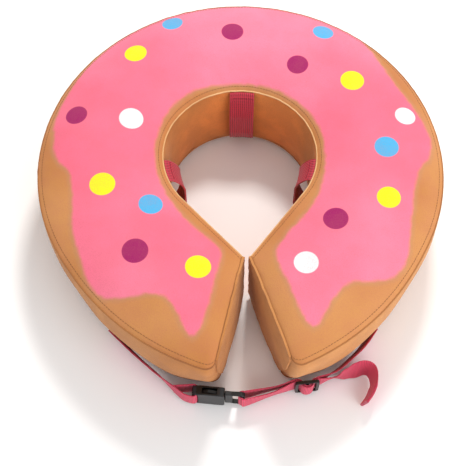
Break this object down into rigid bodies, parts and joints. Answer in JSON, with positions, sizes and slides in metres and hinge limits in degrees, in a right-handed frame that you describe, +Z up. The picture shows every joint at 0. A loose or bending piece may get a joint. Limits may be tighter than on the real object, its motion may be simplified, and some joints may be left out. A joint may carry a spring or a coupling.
{
  "type": "elizabethan collar",
  "caption": "Inflatable C-shaped ring collar for a pet, with a plush cover, inner webbing loops for the pet's collar, and a buckled strap across the opening.",
  "frame": {"origin": "centre of the whole part's footprint on the floor, under its bounding box", "axes": "+Z up out of the top panel, +Y towards the back of the ring, so the opening between the lobes faces -Y; +X to the right seen from the opening"},
  "size_m": [0.4026, 0.433, 0.1],
  "materials": {
    "pink_plush": "short plush, pink with coloured dots over tan",
    "tan_plush": "short plush, tan",
    "wall_plush": "short plush, orange tan",
    "red_webbing": "ribbed woven webbing",
    "pink_webbing": "ribbed woven webbing",
    "black_acetal": "moulded, satin gloss",
    "bladder_film": "welded film",
    "valve_vinyl": "moulded vinyl",
    "zip_tape": "woven tape",
    "zip_coil": "coil",
    "zip_metal": "plated metal"
  },
  "bodies": {
    "collar": {"top_panel": "pink_plush", "bottom_panel": "tan_plush", "inner_wall_panel": "wall_plush", "outer_wall_panel": "tan_plush", "end_panel_left": "tan_plush", "end_panel_right": "tan_plush", "collar_loop_back": "red_webbing", "collar_loop_left": "red_webbing", "collar_loop_right": "red_webbing", "bladder_upper_film": "bladder_film", "bladder_lower_film": "bladder_film", "valve_body": "valve_vinyl", "zipper_tape_upper": "zip_tape", "zipper_tape_lower": "zip_tape", "zipper_coil_upper": "zip_coil", "zipper_coil_lower": "zip_coil", "zipper_stop_closed": "zip_metal", "zipper_stop_open": "zip_metal", "left_webbing": "pink_webbing", "adjuster_webbing": "pink_webbing", "buckle_receptacle": "black_acetal"},
    "buckle_plug": {"buckle_plug": "black_acetal"},
    "prong_upper": {"buckle_prong_upper": "black_acetal"},
    "prong_lower": {"buckle_prong_lower": "black_acetal"},
    "tri_glide": {"tri_glide": "black_acetal"},
    "zip_slider": {"zipper_slider": "zip_metal"},
    "zip_pull": {"zipper_pull": "zip_metal"},
    "valve_cap": {"valve_cap": "valve_vinyl"}
  },
  "joints": [
    {"name": "buckle_plug_slide", "type": "slide", "parent": "collar", "child": "buckle_plug", "axis": [0.9893, -0.1461, 0], "range_m": [0, 0.024], "deforming": ["adjuster_webbing"]},
    {"name": "prong_upper_squeeze", "type": "hinge", "parent": "buckle_plug", "child": "prong_upper", "pos_m": [-0.0268, -0.2012, 0.0219], "axis": [-0.1461, -0.9893, 0], "range_deg": [0, 12.5]},
    {"name": "prong_lower_squeeze", "type": "hinge", "parent": "buckle_plug", "child": "prong_lower", "pos_m": [-0.0268, -0.2012, 0.0055], "axis": [0.1461, 0.9893, 0], "range_deg": [0, 12.5]},
    {"name": "tri_glide_slide", "type": "slide", "parent": "collar", "child": "tri_glide", "axis": [-0.9986, -0.0523, 0], "range_m": [0, 0.018], "deforming": ["adjuster_webbing"]},
    {"name": "zipper_slider_travel", "type": "hinge", "parent": "collar", "child": "zip_slider", "pos_m": [0, 0.015, 0.0465], "axis": [0, 0, 1], "range_deg": [0, 100]},
    {"name": "zipper_pull_swing", "type": "hinge", "parent": "zip_slider", "child": "zip_pull", "pos_m": [0.15476, 0.14486, 0.04622], "axis": [0.6428, -0.766, 0], "range_deg": [0, 120]},
    {"name": "valve_cap_pull", "type": "slide", "parent": "collar", "child": "valve_cap", "axis": [-0.3249, 0.628, 0.7071], "range_m": [0, 0.007]}
  ],
  "couplings": [
    {"joint": "prong_upper_squeeze", "follows": "buckle_plug_slide", "rad_per_m": 8.95},
    {"joint": "prong_lower_squeeze", "follows": "buckle_plug_slide", "rad_per_m": 8.95}
  ]
}
